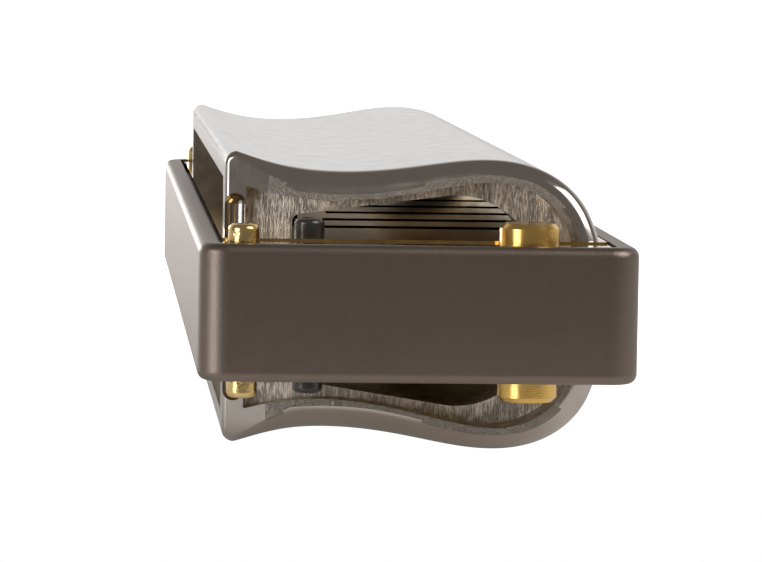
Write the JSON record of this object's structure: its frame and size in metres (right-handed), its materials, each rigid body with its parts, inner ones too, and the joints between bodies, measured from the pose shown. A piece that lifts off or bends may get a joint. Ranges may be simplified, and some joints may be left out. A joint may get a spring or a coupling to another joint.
{
  "type": "harmonica",
  "caption": "Diatonic harmonica with a machined metal comb, brass reed plates, milled wave-section covers open at the back and ends, and brass corner bushes.",
  "frame": {"origin": "centre of the comb, half way between the two reed plates", "axes": "+X along the instrument towards the high holes, -Y towards the player's mouth, +Z towards the blow side"},
  "size_m": [0.102, 0.0274, 0.0188],
  "materials": {
    "comb_metal": "bead-blasted, dark bronze-grey anodised satin",
    "cover_steel": "polished dark nickel over milled steel",
    "plate_brass": "polished brass, lightly tarnished",
    "reed_brass": "fine-ground rolled brass",
    "rivet_brass": "bright brass",
    "post_brass": "turned bright brass",
    "screw_black": "glossy black oxide",
    "dowel_steel": "ground steel"
  },
  "bodies": {
    "harmonica_frame": {"comb": "comb_metal", "blow_reed_plate": "plate_brass", "draw_reed_plate": "plate_brass", "top_cover": "cover_steel", "bottom_cover": "cover_steel", "blow_reed_pads": "reed_brass", "draw_reed_pads": "reed_brass", "blow_reed_rivets": "rivet_brass", "draw_reed_rivets": "rivet_brass", "brass_posts": "post_brass", "cover_dowels": "dowel_steel", "blow_plate_screws": "screw_black", "draw_plate_screws": "screw_black", "corner_screws": "post_brass"},
    "blow_reed_1": {"blow_reed_1": "reed_brass"},
    "draw_reed_1": {"draw_reed_1": "reed_brass"},
    "blow_reed_2": {"blow_reed_2": "reed_brass"},
    "draw_reed_2": {"draw_reed_2": "reed_brass"},
    "blow_reed_3": {"blow_reed_3": "reed_brass"},
    "draw_reed_3": {"draw_reed_3": "reed_brass"},
    "blow_reed_4": {"blow_reed_4": "reed_brass"},
    "draw_reed_4": {"draw_reed_4": "reed_brass"},
    "blow_reed_5": {"blow_reed_5": "reed_brass"},
    "draw_reed_5": {"draw_reed_5": "reed_brass"},
    "blow_reed_6": {"blow_reed_6": "reed_brass"},
    "draw_reed_6": {"draw_reed_6": "reed_brass"},
    "blow_reed_7": {"blow_reed_7": "reed_brass"},
    "draw_reed_7": {"draw_reed_7": "reed_brass"},
    "blow_reed_8": {"blow_reed_8": "reed_brass"},
    "draw_reed_8": {"draw_reed_8": "reed_brass"},
    "blow_reed_9": {"blow_reed_9": "reed_brass"},
    "draw_reed_9": {"draw_reed_9": "reed_brass"},
    "blow_reed_10": {"blow_reed_10": "reed_brass"},
    "draw_reed_10": {"draw_reed_10": "reed_brass"}
  },
  "joints": [
    {"name": "blow_reed_1_flex", "type": "hinge", "parent": "harmonica_frame", "child": "blow_reed_1", "pos_m": [-0.03375, 0.0058, 0.00328], "axis": [1, 0, 0], "range_deg": [-3, 3], "stiffness_Nm_per_rad": 0.0198},
    {"name": "draw_reed_1_flex", "type": "hinge", "parent": "harmonica_frame", "child": "draw_reed_1", "pos_m": [-0.03375, -0.0067, -0.00428], "axis": [1, 0, 0], "range_deg": [-3, 3], "stiffness_Nm_per_rad": 0.0249},
    {"name": "blow_reed_2_flex", "type": "hinge", "parent": "harmonica_frame", "child": "blow_reed_2", "pos_m": [-0.02625, 0.00496, 0.00328], "axis": [1, 0, 0], "range_deg": [-3, 3], "stiffness_Nm_per_rad": 0.0259},
    {"name": "draw_reed_2_flex", "type": "hinge", "parent": "harmonica_frame", "child": "draw_reed_2", "pos_m": [-0.02625, -0.0067, -0.00428], "axis": [1, 0, 0], "range_deg": [-3, 3], "stiffness_Nm_per_rad": 0.0366},
    {"name": "blow_reed_3_flex", "type": "hinge", "parent": "harmonica_frame", "child": "blow_reed_3", "pos_m": [-0.01875, 0.00413, 0.00328], "axis": [1, 0, 0], "range_deg": [-3, 3], "stiffness_Nm_per_rad": 0.0299},
    {"name": "draw_reed_3_flex", "type": "hinge", "parent": "harmonica_frame", "child": "draw_reed_3", "pos_m": [-0.01875, -0.0067, -0.00428], "axis": [1, 0, 0], "range_deg": [-3, 3], "stiffness_Nm_per_rad": 0.0475},
    {"name": "blow_reed_4_flex", "type": "hinge", "parent": "harmonica_frame", "child": "blow_reed_4", "pos_m": [-0.01125, 0.00329, 0.00328], "axis": [1, 0, 0], "range_deg": [-3, 3], "stiffness_Nm_per_rad": 0.0429},
    {"name": "draw_reed_4_flex", "type": "hinge", "parent": "harmonica_frame", "child": "draw_reed_4", "pos_m": [-0.01125, -0.0067, -0.00428], "axis": [1, 0, 0], "range_deg": [-3, 3], "stiffness_Nm_per_rad": 0.0541},
    {"name": "blow_reed_5_flex", "type": "hinge", "parent": "harmonica_frame", "child": "blow_reed_5", "pos_m": [-0.00375, 0.00246, 0.00328], "axis": [1, 0, 0], "range_deg": [-3, 3], "stiffness_Nm_per_rad": 0.0543},
    {"name": "draw_reed_5_flex", "type": "hinge", "parent": "harmonica_frame", "child": "draw_reed_5", "pos_m": [-0.00375, -0.0067, -0.00428], "axis": [1, 0, 0], "range_deg": [-3, 3], "stiffness_Nm_per_rad": 0.0609},
    {"name": "blow_reed_6_flex", "type": "hinge", "parent": "harmonica_frame", "child": "blow_reed_6", "pos_m": [0.00375, 0.00162, 0.00328], "axis": [1, 0, 0], "range_deg": [-3, 3], "stiffness_Nm_per_rad": 0.0602},
    {"name": "draw_reed_6_flex", "type": "hinge", "parent": "harmonica_frame", "child": "draw_reed_6", "pos_m": [0.00375, -0.0067, -0.00428], "axis": [1, 0, 0], "range_deg": [-3, 3], "stiffness_Nm_per_rad": 0.0759},
    {"name": "blow_reed_7_flex", "type": "hinge", "parent": "harmonica_frame", "child": "blow_reed_7", "pos_m": [0.01125, 0.00079, 0.00328], "axis": [1, 0, 0], "range_deg": [-3, 3], "stiffness_Nm_per_rad": 0.0828},
    {"name": "draw_reed_7_flex", "type": "hinge", "parent": "harmonica_frame", "child": "draw_reed_7", "pos_m": [0.01125, -0.0067, -0.00428], "axis": [1, 0, 0], "range_deg": [-3, 3], "stiffness_Nm_per_rad": 0.0737},
    {"name": "blow_reed_8_flex", "type": "hinge", "parent": "harmonica_frame", "child": "blow_reed_8", "pos_m": [0.01875, -0.00005, 0.00328], "axis": [1, 0, 0], "range_deg": [-3, 3], "stiffness_Nm_per_rad": 0.0992},
    {"name": "draw_reed_8_flex", "type": "hinge", "parent": "harmonica_frame", "child": "draw_reed_8", "pos_m": [0.01875, -0.0067, -0.00428], "axis": [1, 0, 0], "range_deg": [-3, 3], "stiffness_Nm_per_rad": 0.0787},
    {"name": "blow_reed_9_flex", "type": "hinge", "parent": "harmonica_frame", "child": "blow_reed_9", "pos_m": [0.02625, -0.00088, 0.00328], "axis": [1, 0, 0], "range_deg": [-3, 3], "stiffness_Nm_per_rad": 0.1033},
    {"name": "draw_reed_9_flex", "type": "hinge", "parent": "harmonica_frame", "child": "draw_reed_9", "pos_m": [0.02625, -0.0067, -0.00428], "axis": [1, 0, 0], "range_deg": [-3, 3], "stiffness_Nm_per_rad": 0.082},
    {"name": "blow_reed_10_flex", "type": "hinge", "parent": "harmonica_frame", "child": "blow_reed_10", "pos_m": [0.03375, -0.00172, 0.00328], "axis": [1, 0, 0], "range_deg": [-3, 3], "stiffness_Nm_per_rad": 0.1317},
    {"name": "draw_reed_10_flex", "type": "hinge", "parent": "harmonica_frame", "child": "draw_reed_10", "pos_m": [0.03375, -0.0067, -0.00428], "axis": [1, 0, 0], "range_deg": [-3, 3], "stiffness_Nm_per_rad": 0.0931}
  ]
}
